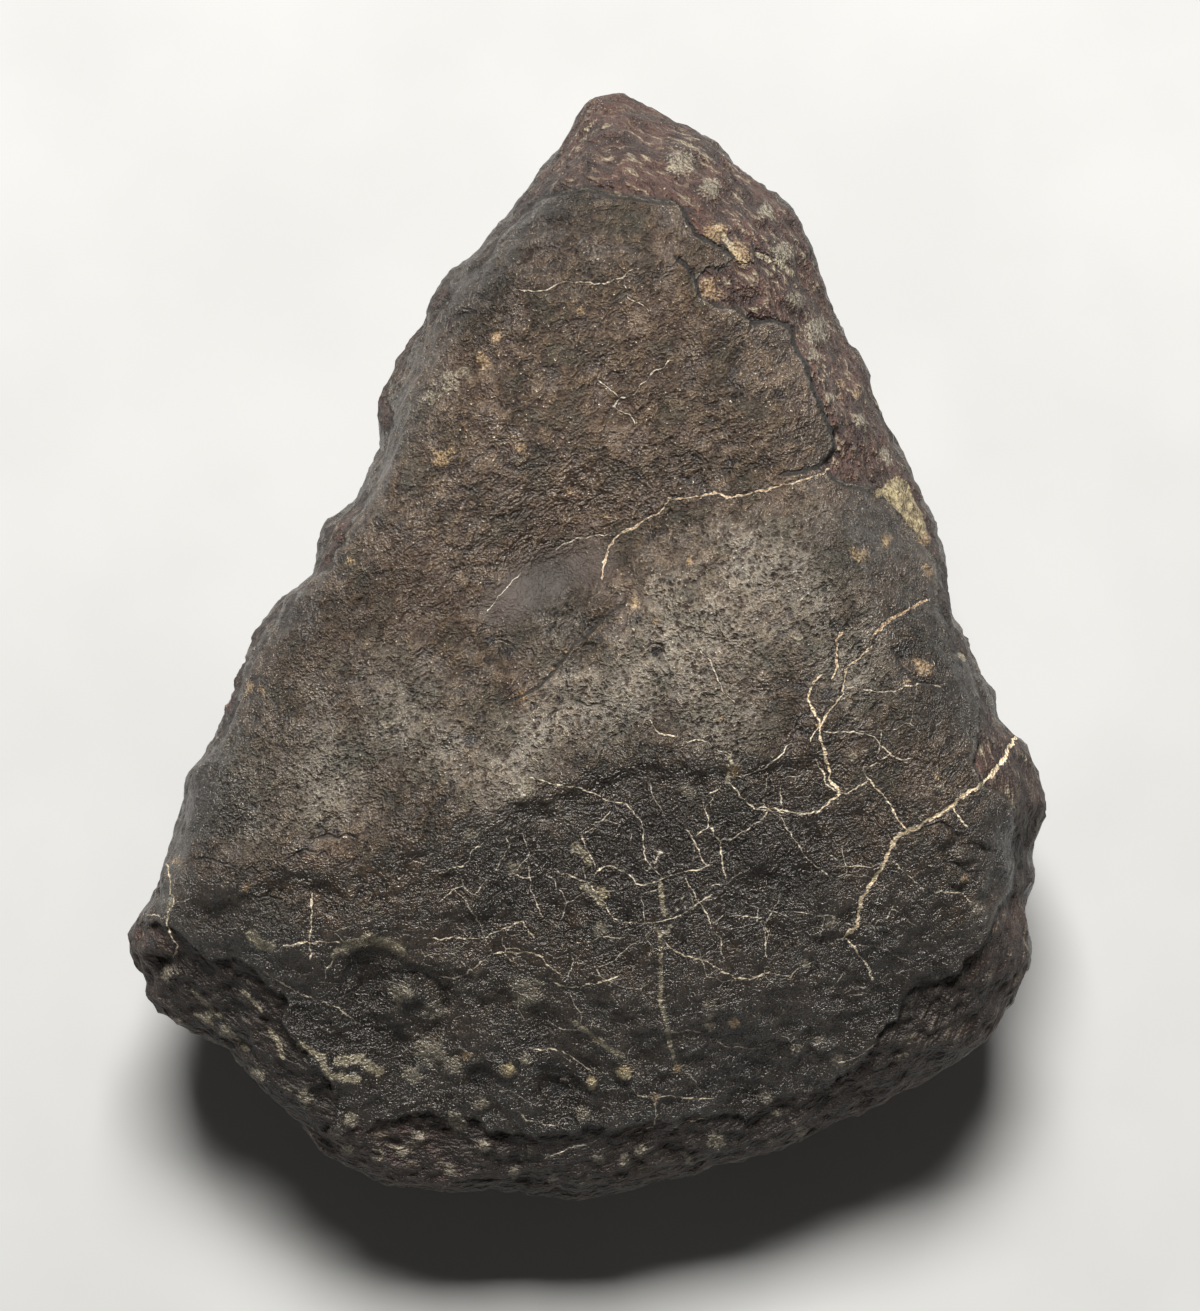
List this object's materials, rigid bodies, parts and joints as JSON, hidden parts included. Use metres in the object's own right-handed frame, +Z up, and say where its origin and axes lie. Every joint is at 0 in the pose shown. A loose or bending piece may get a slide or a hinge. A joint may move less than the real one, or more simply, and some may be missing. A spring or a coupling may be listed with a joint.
{
  "type": "chondrite meteorite",
  "caption": "Whole stony meteorite, a rounded-triangle mass with dark cracked fusion crust, thumbprint hollows and a chipped flank, to stand on its small flat underside as a display specimen.",
  "frame": {"origin": "on the flat resting face, under the middle of the stone's box", "axes": "+Z up from the resting face, +Y to the narrow end, +X to the chipped flank"},
  "size_m": [0.1852, 0.2204, 0.0907],
  "materials": {
    "fusion_crust": "dark brown-black fused crust with a faint satin sheen, tan filled cracks and chipped grey-brown stone"
  },
  "bodies": {
    "root": {"meteorite": "fusion_crust"}
  },
  "joints": []
}
